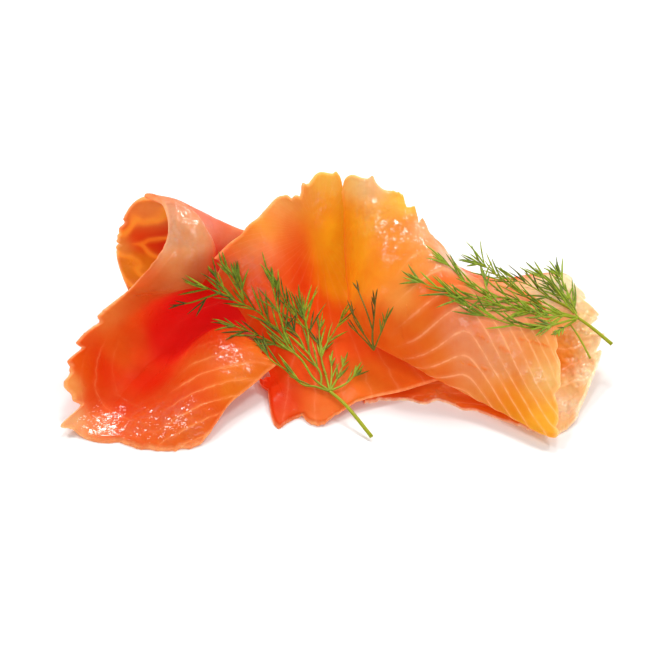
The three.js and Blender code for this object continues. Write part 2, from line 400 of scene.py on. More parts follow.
def mathNode(tree, operation, a, b, clamp=False):
    node = addNode(tree, "ShaderNodeMath", operation=operation, use_clamp=clamp)
    for socket, value in zip(node.inputs, (a, b)):
        if isinstance(value, (int, float)):
            socket.default_value = value
        else:
            tree.links.new(value, socket)
    return node.outputs[0]


def multiply(tree, a, b, clamp=False):
    return mathNode(tree, "MULTIPLY", a, b, clamp)


def add(tree, a, b, clamp=False):
    return mathNode(tree, "ADD", a, b, clamp)


def subtract(tree, a, b):
    return mathNode(tree, "SUBTRACT", a, b)


def attributeNode(tree, name, output="Fac"):
    return addNode(tree, "ShaderNodeAttribute", attribute_name=name).outputs[output]


def rangeNode(tree, value, low, high, toLow=0.0, toHigh=1.0):
    node = addNode(tree, "ShaderNodeMapRange", interpolation_type="SMOOTHSTEP")
    tree.links.new(value, node.inputs["Value"])
    for label, number in (("From Min", low), ("From Max", high), ("To Min", toLow), ("To Max", toHigh)):
        if isinstance(number, (int, float)):
            node.inputs[label].default_value = number
        else:
            tree.links.new(number, node.inputs[label])
    return node.outputs["Result"]


def mixColour(tree, factor, a, b, blend="MIX"):
    node = addNode(tree, "ShaderNodeMix", data_type="RGBA", blend_type=blend)
    for socket, value in ((node.inputs[0], factor), (node.inputs[6], a), (node.inputs[7], b)):
        if isinstance(value, (int, float, tuple)):
            socket.default_value = value
        else:
            tree.links.new(value, socket)
    return node.outputs[2]


def noiseNode(tree, vector, scale, detail=3.0, roughness=0.55, distortion=0.0):
    node = addNode(tree, "ShaderNodeTexNoise")
    node.inputs["Scale"].default_value = scale
    node.inputs["Detail"].default_value = detail
    node.inputs["Roughness"].default_value = roughness
    node.inputs["Distortion"].default_value = distortion
    tree.links.new(vector, node.inputs["Vector"])
    return node.outputs["Fac"]


def objectPlace(tree):
    return addNode(tree, "ShaderNodeTexCoord").outputs["Object"]


def buildStripeGroup():
    # pale lines of connective tissue between the blocks of muscle, and the fibres that cross them
    tree, start, end = newGroup("fleshStripes", [
        ("Line Width", "NodeSocketFloat", 0.09),
        ("Waver", "NodeSocketFloat", 0.25)], [
        ("Line", "NodeSocketFloat"),
        ("Halo", "NodeSocketFloat"),
        ("Fibre", "NodeSocketFloat")])
    grain = attributeNode(tree, "grain", "Vector")
    split = addNode(tree, "ShaderNodeSeparateXYZ")
    tree.links.new(grain, split.inputs[0])
    phase, run, strength = split.outputs
    place = objectPlace(tree)
    wander = subtract(tree, noiseNode(tree, place, 170.0, 2.0), 0.5)
    wander = multiply(tree, wander, start.outputs["Waver"])
    phase = add(tree, phase, wander)
    away = mathNode(tree, "PINGPONG", phase, 0.5)
    breaks = noiseNode(tree, place, 260.0, 3.0)
    width = multiply(tree, start.outputs["Line Width"], rangeNode(tree, breaks, 0.3, 0.7, 0.45, 1.3))
    line = rangeNode(tree, away, 0.0, width, 1.0, 0.0)
    line = multiply(tree, line, rangeNode(tree, breaks, 0.28, 0.55))
    line = multiply(tree, line, strength, clamp=True)
    haloWidth = multiply(tree, start.outputs["Line Width"], 3.2)
    halo = rangeNode(tree, away, 0.0, haloWidth, 1.0, 0.0)
    halo = multiply(tree, halo, strength, clamp=True)
    streak = addNode(tree, "ShaderNodeCombineXYZ")
    tree.links.new(multiply(tree, phase, 1.2), streak.inputs[0])
    tree.links.new(multiply(tree, run, 1.5), streak.inputs[1])
    fibre = noiseNode(tree, streak.outputs[0], 1.0, 3.0, 0.6)
    tree.links.new(line, end.inputs["Line"])
    tree.links.new(halo, end.inputs["Halo"])
    tree.links.new(fibre, end.inputs["Fibre"])
    return tree


def buildFleshGroup():
    # the flesh's colour: painted tones, mottling, fibres, pale lines and the thin pale rim
    tree, start, end = newGroup("fleshTone", [
        ("Line", "NodeSocketFloat", 0.0),
        ("Halo", "NodeSocketFloat", 0.0),
        ("Fibre", "NodeSocketFloat", 0.5),
        ("Fat Colour", "NodeSocketColor", (1.0, 0.58, 0.30, 1)),
        ("Rim Colour", "NodeSocketColor", (0.98, 0.52, 0.22, 1)),
        ("Band Colour", "NodeSocketColor", (0.95, 0.38, 0.03, 1)),
        ("Line Strength", "NodeSocketFloat", 0.7),
        ("Rim Strength", "NodeSocketFloat", 0.6),
        ("Mottling", "NodeSocketFloat", 0.5)], [
        ("Color", "NodeSocketColor")])
    paint = attributeNode(tree, "paint", "Color")
    rim = attributeNode(tree, "pale")
    band = attributeNode(tree, "band")
    place = objectPlace(tree)
    cloud = rangeNode(tree, noiseNode(tree, place, 90.0, 4.0), 0.3, 0.7)
    speck = rangeNode(tree, noiseNode(tree, place, 420.0, 3.0), 0.35, 0.7)
    deeper = mixColour(tree, 1.0, paint, (0.95, 0.76, 0.64, 1), "MULTIPLY")
    lighter = mixColour(tree, 1.0, paint, (1.02, 1.16, 1.25, 1), "MULTIPLY")
    mottled = mixColour(tree, cloud, deeper, lighter)
    colour = mixColour(tree, start.outputs["Mottling"], paint, mottled)
    bandMask = multiply(tree, band, rangeNode(tree, cloud, 0.0, 1.0, 0.7, 1.0))
    colour = mixColour(tree, bandMask, colour, start.outputs["Band Colour"])
    fibreMask = multiply(tree, rangeNode(tree, start.outputs["Fibre"], 0.42, 0.72), 0.45)
    colour = mixColour(tree, fibreMask, colour, (1.0, 1.10, 1.15, 1), "MULTIPLY")
    colour = mixColour(tree, multiply(tree, speck, 0.4), colour, (1.0, 1.08, 1.15, 1), "MULTIPLY")
    haloMask = multiply(tree, start.outputs["Halo"], 0.08)
    colour = mixColour(tree, haloMask, colour, start.outputs["Fat Colour"])
    lineMask = multiply(tree, start.outputs["Line"], start.outputs["Line Strength"])
    colour = mixColour(tree, lineMask, colour, start.outputs["Fat Colour"])
    rimMask = multiply(tree, rim, rangeNode(tree, speck, 0.0, 1.0, 0.6, 1.0))
    rimMask = multiply(tree, rimMask, start.outputs["Rim Strength"])
    colour = mixColour(tree, rimMask, colour, start.outputs["Rim Colour"])
    tree.links.new(colour, end.inputs["Color"])
    return tree


def buildWetGroup():
    # an oily film: satin all over, with crinkled glossy patches that break light into small glints
    tree, start, end = newGroup("wetFilm", [
        ("Line", "NodeSocketFloat", 0.0),
        ("Fibre", "NodeSocketFloat", 0.5),
        ("Roughness Low", "NodeSocketFloat", 0.16),
        ("Roughness High", "NodeSocketFloat", 0.42)], [
        ("Roughness", "NodeSocketFloat"),
        ("Coat Weight", "NodeSocketFloat"),
        ("Height", "NodeSocketFloat"),
        ("Film Height", "NodeSocketFloat")])
    place = objectPlace(tree)
    shine = attributeNode(tree, "shine")
    patch = noiseNode(tree, place, 130.0, 3.0)
    fine = noiseNode(tree, place, 900.0, 2.0)
    spots = rangeNode(tree, noiseNode(tree, place, 330.0, 3.0), 0.42, 0.62)
    wet = multiply(tree, shine, add(tree, multiply(tree, spots, 0.8), 0.2))
    dry = subtract(tree, 1.0, rangeNode(tree, patch, 0.4, 0.75))
    spread = subtract(tree, start.outputs["Roughness High"], start.outputs["Roughness Low"])
    roughness = multiply(tree, spread, dry)
    roughness = add(tree, roughness, start.outputs["Roughness Low"])
    roughness = add(tree, roughness, multiply(tree, fine, 0.08), clamp=True)
    coat = add(tree, multiply(tree, rangeNode(tree, patch, 0.5, 0.8), 0.05), wet, clamp=True)
    wrinkle = noiseNode(tree, place, 320.0, 4.0, 0.6, 0.4)
    grit = noiseNode(tree, place, 1300.0, 2.0, 0.5)
    height = multiply(tree, wrinkle, 0.45)
    height = add(tree, height, multiply(tree, grit, 0.10))
    height = add(tree, height, multiply(tree, start.outputs["Fibre"], 0.10))
    height = subtract(tree, height, multiply(tree, start.outputs["Line"], 0.18))
    drawn = addNode(tree, "ShaderNodeMapping")
    drawn.inputs["Scale"].default_value = (0.5, 1.0, 1.0)
    tree.links.new(place, drawn.inputs["Vector"])
    crinkle = noiseNode(tree, drawn.outputs["Vector"], 480.0, 1.0, 0.5, 1.2)
    film = multiply(tree, crinkle, add(tree, multiply(tree, shine, 0.5), 0.3))
    tree.links.new(roughness, end.inputs["Roughness"])
    tree.links.new(coat, end.inputs["Coat Weight"])
    tree.links.new(height, end.inputs["Height"])
    tree.links.new(film, end.inputs["Film Height"])
    return tree


def buildLeafGroup():
    # a fresh herb's green: each thread has its own tone; stems are lighter and yellower
    tree, start, end = newGroup("leafTone", [
        ("Leaf Colour", "NodeSocketColor", (0.11, 0.20, 0.02, 1)),
        ("Light Colour", "NodeSocketColor", (0.22, 0.34, 0.03, 1)),
        ("Stem Colour", "NodeSocketColor", (0.30, 0.36, 0.03, 1)),
        ("Shade Colour", "NodeSocketColor", (0.03, 0.06, 0.01, 1))], [
        ("Color", "NodeSocketColor"),
        ("Height", "NodeSocketFloat")])
    stem = attributeNode(tree, "stemness")
    tone = attributeNode(tree, "tone")
    place = objectPlace(tree)
    cloud = multiply(tree, rangeNode(tree, noiseNode(tree, place, 420.0, 3.0), 0.3, 0.7), 0.5)
    grit = noiseNode(tree, place, 1500.0, 3.0)
    tone = subtract(tree, add(tree, tone, cloud), 0.25)
    darker = rangeNode(tree, tone, 0.05, 0.45)
    paler = rangeNode(tree, tone, 0.50, 0.95)
    leaf = mixColour(tree, darker, start.outputs["Shade Colour"], start.outputs["Leaf Colour"])
    leaf = mixColour(tree, paler, leaf, start.outputs["Light Colour"])
    colour = mixColour(tree, stem, leaf, start.outputs["Stem Colour"])
    # pale grey-green flecks, partly a painted sheen on the leaflets
    flecksAndSheen = multiply(tree, rangeNode(tree, grit, 0.58, 0.75), 0.2)
    colour = mixColour(tree, flecksAndSheen, colour, (0.38, 0.46, 0.20, 1))
    tree.links.new(colour, end.inputs["Color"])
    tree.links.new(grit, end.inputs["Height"])
    return tree


def placeGroup(tree, group, **values):
    node = tree.nodes.new("ShaderNodeGroup")
    node.node_tree = group
    for label, value in values.items():
        node.inputs[label].default_value = value
    return node


def newMaterial(name):
    material = bpy.data.materials.new(name)
    material.use_nodes = True
    tree = material.node_tree
    shader = next(node for node in tree.nodes if node.type == "BSDF_PRINCIPLED")
    return material, tree, shader


def fleshMaterial(name, look):
    material, tree, shader = newMaterial(name)
    stripes = placeGroup(tree, stripeGroup, **look["stripes"])
    tone = placeGroup(tree, fleshGroup, **look["tone"])
    wet = placeGroup(tree, wetGroup, **look["wet"])
    links = tree.links
    for label in ("Line", "Halo", "Fibre"):
        links.new(stripes.outputs[label], tone.inputs[label])
    for label in ("Line", "Fibre"):
        links.new(stripes.outputs[label], wet.inputs[label])
    links.new(tone.outputs["Color"], shader.inputs["Base Color"])
    links.new(tone.outputs["Color"], shader.inputs["Emission Color"])
    shader.inputs["Emission Strength"].default_value = 0.42  # painted glow: the flesh gives off its own colour, standing in for light carried through it
    links.new(wet.outputs["Roughness"], shader.inputs["Roughness"])
    links.new(wet.outputs["Coat Weight"], shader.inputs["Coat Weight"])
    for height, strength, target in (("Height", 1.0, "Normal"), ("Film Height", 2.0, "Coat Normal")):
        bump = addNode(tree, "ShaderNodeBump")
        bump.inputs["Strength"].default_value = look["bumpStrength"] * strength
        bump.inputs["Distance"].default_value = look["bumpDepth"]
        links.new(wet.outputs[height], bump.inputs["Height"])
        links.new(bump.outputs["Normal"], shader.inputs[target])
    shader.inputs["Subsurface Weight"].default_value = look["subsurface"]
    shader.inputs["Subsurface Radius"].default_value = (1.0, 0.28, 0.10)
    shader.inputs["Subsurface Scale"].default_value = look["subsurfaceDepth"]
    shader.inputs["IOR"].default_value = 1.42
    shader.inputs["Specular IOR Level"].default_value = 0.22
    shader.inputs["Specular Tint"].default_value = (1.0, 0.45, 0.20, 1)
    shader.inputs["Coat Roughness"].default_value = 0.04
    shader.inputs["Coat IOR"].default_value = 1.9
    return material


def dillMaterial(name, look):
    material, tree, shader = newMaterial(name)
    leaf = placeGroup(tree, leafGroup, **look)
    tree.links.new(leaf.outputs["Color"], shader.inputs["Base Color"])
    bump = addNode(tree, "ShaderNodeBump")
    bump.inputs["Strength"].default_value = 0.4
    bump.inputs["Distance"].default_value = 0.0002
    tree.links.new(leaf.outputs["Height"], bump.inputs["Height"])
    tree.links.new(bump.outputs["Normal"], shader.inputs["Normal"])
    shader.inputs["Roughness"].default_value = 0.45
    shader.inputs["Specular IOR Level"].default_value = 0.25
    shader.inputs["Subsurface Weight"].default_value = 0.15
    shader.inputs["Subsurface Radius"].default_value = (0.4, 1.0, 0.2)
    shader.inputs["Subsurface Scale"].default_value = 0.0006
    return material


stripeGroup = buildStripeGroup()
fleshGroup = buildFleshGroup()
wetGroup = buildWetGroup()
leafGroup = buildLeafGroup()
print("node groups ready")


# ---- the curled slice: a roll at the back whose front lip runs out into a shallow bowl

def curledStripes(points, u, v, lengthAlong, lengthAcross):
    x, y, z = np.moveaxis(points, -1, 0)
    upperArm = (z - 31) * 0.93 - (x + 68) * 0.37
    lowerArm = -(x + 68) * 0.80 - (z - 31) * 0.60
    chevron = np.maximum(upperArm, lowerArm) / 8.0
    inRoll = smoothStep((0.26 - u) / 0.03)
    flank = (0.62 * y + 0.79 * z - 0.10 * x + 0.012 * (x + 30) ** 2) / 5.0
    onFlank = smoothStep((u - 0.80) / 0.05) * smoothStep((v - 0.22) / 0.2)
    onFlank = onFlank * (0.25 + 0.75 * smoothStep((-7 - y) / 6))
    bowlLines = (1 - v) * lengthAcross / 5.0
    nearRim = smoothStep((v - 0.70) / 0.08) * smoothStep((0.93 - v) / 0.04) * smoothStep((u - 0.58) / 0.05)
    phase = np.where(u < 0.3, chevron, np.where(u > 0.80, flank, bowlLines))
    strength = np.where(u > 0.80, onFlank, 0.4 * nearRim * (u > 0.3))
    wavy = chevron + 0.35 * noiseField(points, 9.0, 2, 4)
    return phase, u * lengthAlong, strength, 0.5 * inRoll * ridge(wavy, 0.17)


def lobeBulge(u, v, lengthAlong, lengthAcross):
    # the lip rolls over into a rounded lobe that stands proud of the sheet behind it
    edge = 0.45 + 0.55 * np.exp(-(u - 0.279) / 0.035)
    inside = np.minimum((v - edge) * lengthAcross, (0.487 - u) * lengthAlong)
    inside = np.minimum(inside, (u - 0.262) * lengthAlong)
    swollen = smoothStep(inside / 2.2) * np.exp(-np.maximum(inside, 0) / 13.0)
    return -3.2 * swollen * smoothStep((0.97 - v) / 0.12)


curledSlice = {
    "name": "curledSlice",
    "node": "slice_curled",
    "slot": "salmon_curled",
    "seed": 3,
    "steps": (520, 170),
    "thickness": 2.1,
    "feather": {},
    "surface": cageSurface([
        [[-26, 42, 0], [-39, 42, 0], [-51, 41, 0], [-64, 41, 0], [-74, 41, 0]],  # foot of the back wall
        [[-25, 36, 18], [-38, 37, 19], [-50, 37, 20], [-64, 36, 21], [-77, 34, 22]],
        [[-25, 33, 28], [-37, 34, 31], [-49, 34, 34], [-63, 34, 35], [-76, 32, 36]],
        [[-25, 32, 32], [-37, 33, 37], [-47, 34, 41], [-59, 36, 45], [-70, 37, 46]],
        [[-25, 32, 33], [-36, 31, 38.5], [-45, 31, 44], [-53, 33, 48], [-61, 33, 50]],  # top of the roll
        [[-26, 31, 29], [-39, 27, 35], [-45, 23, 42], [-50, 21, 47], [-57, 23, 47]],
        [[-28, 32, 24], [-40, 26, 28], [-44, 21, 36], [-49, 17, 40], [-59, 19, 39]],  # folded lobe
        [[-30, 33, 17], [-42, 24, 20], [-48, 16, 29], [-58, 10, 31], [-69, 8, 31]],
        [[-31, 34, 12], [-45, 27, 12], [-57, 18, 17], [-69, 7, 22], [-81, 0, 24]],  # crease under it
        [[-27, 31, 9], [-46, 26, 7], [-60, 17, 8], [-76, 1, 13], [-89, -12, 18]],
        [[-25, 28, 7], [-46, 19, 5], [-61, 9, 2], [-78, -10, 6], [-91, -25, 12]],  # left side of the bowl
        [[-24, 24, 6.5], [-46, 13, 5], [-59, 0, 0.8], [-73, -19, 0.8], [-86, -35, 2]],
        [[-24, 20, 6], [-44, 8, 9], [-53, -10, 7], [-60, -29, 3.5], [-65, -42, 1]],  # front of the bowl
        [[-31, 8, 11.5], [-41, 3, 14], [-45, -12, 12], [-48, -31, 7], [-46, -41, 1]],
        [[-30, 2, 13], [-33, -3, 14], [-35, -9, 14], [-35, -18, 11], [-34, -25, 6]],
        [[-27, -1, 12], [-24, -4, 12.5], [-23, -7, 12.5], [-21, -8, 11.5], [-19, -9, 10]]]),
    "tears": {
        "low": [[0.3, 0.06, 0.04]],
        "high": [[0.262, 0.011, -0.12], [0.552, 0.010, 0.06], [0.600, 0.008, 0.06], [0.640, 0.012, 0.03],
                 [0.682, 0.014, 0.05], [0.701, 0.009, 0.08], [0.714, 0.008, -0.05], [0.78, 0.012, 0.03],
                 [0.93, 0.02, 0.02]],
        "first": [[0.5, 0.1, 0.01]],
        "last": []},
    "bites": {"low": 0.4, "high": 0.5, "first": 0.6, "last": 0.4},
    "calmHigh": [[0.36, 0.06, 1.0], [0.48, 0.05, 0.8]],
    "swell": {"broad": 0.35, "ruffle": 0.35, "crinkle": 0.30, "groove": 0.10},
    "stripes": curledStripes,
    "bulge": lobeBulge,
    "paleEdges": {"high": 1.5, "last": 0.8},
    "base": "#ea5a24",
    "tones": [
        [-60, 35, 32, 6, "#de2008"],  # inner wall of the roll, its deep red a painted shade inside the roll
        [-67, 34, 34, 6, "#ee3c0c"],
        [-65, 35, 42, 6, "#f28848"],
        [-71, 35, 20, 7, "#ee8a12"],
        [-76, 33, 31, 4, "#f2a050"],
        [-55, 25, 48, 6, "#e8a58c"],  # lobe: its pale top partly painted sheen, painted shade on its lower side
        [-50, 19, 44, 6, "#eea880"],
        [-58, 20, 41, 5, "#eeaa90"],
        [-54, 14, 36, 6, "#dc8858"],
        [-49, 15, 33, 5, "#b03e1e"],
        [-60, 10, 32, 6, "#c85628"],
        [-68, 7, 29, 6, "#dc5822"],
        [-75, 3, 25, 6, "#ec7b3c"],
        [-50, 30, 47, 5, "#ea7866"],  # back of the roll, its pink partly a painted sheen
        [-42, 29, 42, 6, "#ea7c70"],
        [-35, 29, 37, 6, "#f08868"],
        [-43, 23, 32, 5, "#e01810"],  # painted shade in the gap behind the lobe
        [-45, 21, 20, 7, "#cc100c"],
        [-57, 18, 16, 7, "#f41420"],
        [-64, 12, 17, 6, "#f6361a"],
        [-75, 0, 11, 6, "#ea5a1a"],  # left of the bowl; the deep reds in the bowl's hollow are painted shade
        [-70, 8, 16, 5, "#f66020"],
        [-69, 7, 9, 4, "#f26428"],
        [-62, 11, 5, 8, "#f41e1a"],
        [-55, 13, 4, 9, "#f61420"],
        [-47, 24, 8, 9, "#f21020"],
        [-38, 22, 8, 8, "#ec1020"],
        [-68, 5, 5, 4, "#f4541e"],
        [-63, -10, 1, 7, "#e0200e"],
        [-81, -10, 8, 6, "#e02a08"],
        [-85, -14, 12, 5, "#e45810"],
        [-89, -22, 11, 4, "#ee9c5c"],
        [-80, -20, 3, 6, "#dc400c"],
        [-69, -21, 2, 7, "#d8360e"],
        [-41, 1, 14, 6, "#e23c18"],  # outer flank
        [-34, -4, 14, 6, "#e04e18"],
        [-27, -9, 12, 7, "#e8721a"],
        [-39, -14, 13, 7, "#e46226"],
        [-45, -21, 10, 7, "#e04e12"],
        [-34, -20, 10, 6, "#e97a1a"],
        [-55, -24, 6, 7, "#dc4a20"],
        [-80, -31, 1, 6, "#e8703a"],
        [-88, -32, 4, 5, "#f0b088"],
        [-65, -35, 2, 7, "#e05818"],
        [-49, -37, 3, 7, "#e66824"]],
    "shine": [
        [-52, 20, 45, 7, 1.0],
        [-57, 21, 43, 5, 0.8],
        [-44, 27, 42, 4, 0.7],
        [-41, 0, 14, 6, 0.6],
        [-36, -7, 14, 7, 0.8],
        [-31, -14, 12, 5, 0.6],
        [-63, -28, 4, 9, 1.0],
        [-52, -33, 5, 8, 1.0],
        [-76, -31, 2, 7, 0.8]],
    "material": lambda: fleshMaterial("salmonCurled", {
        "stripes": {"Line Width": 0.07, "Waver": 0.45},
        "tone": {
            "Line Strength": 0.18, "Rim Strength": 0.5, "Mottling": 0.6,
            "Fat Colour": (1.0, 0.50, 0.18, 1)},
        "wet": {"Roughness Low": 0.22, "Roughness High": 0.45},
        "bumpStrength": 0.5, "bumpDepth": 0.0007, "subsurface": 0.6, "subsurfaceDepth": 0.0022})}


# ---- the middle slice: leans on the roll and falls through a valley to the table

def centreStripes(points, u, v, lengthAlong, lengthAcross):
    x, y, z = np.moveaxis(points, -1, 0)
    fan = np.arctan2(x + 6, 70 - y - z) * 9.0
    strength = 0.18 + 0.1 * smoothStep((v - 0.6) / 0.2)
    return fan, v * lengthAcross, strength, np.zeros_like(u)


centreSlice = {
    "name": "centreSlice",
    "node": "slice_centre",
    "slot": "salmon_centre",
    "seed": 11,
    "steps": (300, 230),
    "thickness": 2.1,
    "feather": {"last": (2.5, [0.0])},
    "surface": cageSurface([
        [[-42, 17, 35], [-41, 19, 27], [-36, 17, 19.5], [-30.5, 13, 13], [-27.5, 2, 3.5], [-28, -9, 1]],
        [[-36, 22, 39], [-32, 17, 32], [-27, 10, 23], [-23, 4, 11], [-21, -6, 4], [-20, -31, 1]],
        [[-29, 25, 43], [-23, 17, 36], [-19, 8, 25], [-16, -2, 13], [-13, -14, 5], [-12, -26, 1]],
        [[-20, 38, 47], [-15, 28, 36], [-11, 19, 21], [-8, -1, 12], [-6, -17, 5], [-4, -30, 1.5]],
        [[-12, 39, 49], [-8, 34, 34], [-4, 26, 16], [0, 4, 10], [4, -12, 6.5], [10, -21, 4]],
        [[-4, 46, 52], [-3, 37, 36], [1, 29, 13.5], [10, 11, 8.5], [16, -3, 6], [24, -16, 4]],
        [[4, 47, 50], [6, 40, 32], [9, 32, 11], [19, 16, 6.5], [29, 3, 5], [39, -9, 4]]]),
    "tears": {
        "low": [[0.32, 0.05, -0.02], [0.6, 0.02, 0.012], [0.70, 0.02, -0.03], [0.80, 0.05, -0.01],
                [0.945, 0.02, -0.014], [1, 0.014, 0.12]],
        "high": [[0, 0.03, 0.10], [0.07, 0.04, 0.14], [0.35, 0.025, 0.02], [0.5, 0.03, -0.02]],
        "first": [[0.1, 0.1, 0.06], [0.75, 0.05, 0.05], [0.9, 0.08, 0.12], [0.95, 0.035, 0.06]],
        "last": []},
    "bites": {"low": 0.5, "high": 0.4, "first": 0.3, "last": 0.2},
    "calmHigh": [],
    "swell": {"broad": 0.35, "ruffle": 0.3, "crinkle": 0.30, "groove": 0.06},
    "stripes": centreStripes,
    "bulge": noBulge,
    "paleEdges": {"low": 1.6, "first": 1.2, "high": 0.8},
    "base": "#ea5a20",
    "tones": [
        [-39, 19, 34, 5, "#ee501c"],
        [-32, 22, 40, 5, "#ee7a2c"],  # facet below the left rim; paler and yellower up to the top edge, a painted glow of light through the thin flesh
        [-25, 28, 43, 6, "#f0943c"],
        [-19, 36, 46, 6, "#f2a868"],
        [-12, 40, 48, 5, "#f4a25c"],
        [-3, 45, 50, 6, "#fcc860"],
        [-32, 18, 34, 6, "#f26a40"],
        [-25, 17, 37, 6, "#f2885c"],
        [-17, 31, 40, 7, "#ec7c38"],
        [-9, 38, 42, 6, "#f69428"],
        [-1, 42, 44, 6, "#f8a424"],
        [-1, 36, 31, 8, "#ffb81e"],  # painted glow: amber where light shines through
        [-1, 30, 17, 7, "#ffa81a"],
        # lower down, the deeper reds in the valley, on the foot and where the right slice overhangs are
        # painted shade
        [-12, 28, 32, 8, "#e84e1c"],
        [-19, 12, 28, 8, "#f25c26"],
        [-27, 11, 27, 7, "#f04a14"],
        [-9, 21, 19, 8, "#e43a12"],
        [-3, 17, 13, 7, "#ea5616"],
        [-21, 1, 10, 8, "#ee3a0c"],
        [-10, -6, 11, 8, "#f04a18"],
        [6, 5, 9, 7, "#f45a20"],
        [-1, -22, 4, 8, "#e66626"],
        [9, -15, 5, 7, "#e86a1e"],
        [23, -8, 5, 8, "#f26a22"],
        [28, 2, 5, 8, "#e4300c"],
        [-18, -22, 2, 7, "#d82a06"],
        [-16, -29, 1, 5, "#dc480c"],
        [-4, -28, 2, 5, "#e67036"],
        [-24, -12, 3, 6, "#ee2e0a"]],
    "shine": [
        [-30, 16, 34, 6, 0.9],
        [-26, 11, 28, 6, 0.9],
        [-36, 18, 31, 4, 0.5],
        [-4, 40, 44, 6, 0.4]],
    "material": lambda: fleshMaterial("salmonCentre", {
        "stripes": {"Line Width": 0.06, "Waver": 0.3},
        "tone": {"Line Strength": 0.16, "Rim Strength": 0.45, "Mottling": 0.6},
        "wet": {"Roughness Low": 0.24, "Roughness High": 0.46},
        "bumpStrength": 0.45, "bumpDepth": 0.0007, "subsurface": 0.6, "subsurfaceDepth": 0.0024})}


# ---- the right slice: draped over the heap, its front edge folded under

def rightStripes(points, u, v, lengthAlong, lengthAcross):
    x = points[..., 0]
    down = v * lengthAcross
    arch = np.where(x < 45, 1.2, 1.35) * (np.sqrt((x - 45) ** 2 + 12) - 3.5)
    phase = (down - arch) / 7.0
    strength = smoothStep((x - 20) / 14) * smoothStep((v - 0.16) / 0.12)
    cracks = np.zeros_like(u)  # short broken splits along the muscle, painted dark as the shade inside them
    broken = smoothStep(noiseField(points, 1.5, 2, 5) * 4 + 0.8)
    wobble = 0.7 * noiseField(points, 3.0, 2, 9)
    splits = ((47, 61, 0.434, 0.002), (60, 74, 0.385, -0.005), (42, 54, 0.59, -0.001))
    for fromX, toX, atV, slope in splits:
        away = (v - atV - slope * (x - fromX)) * lengthAcross + wobble
        reach = smoothStep((x - fromX) / 2) * smoothStep((toX - x) / 2)
        cracks = np.maximum(cracks, np.exp(-(away / 0.5) ** 2) * reach * broken)
    return phase, x, strength, cracks


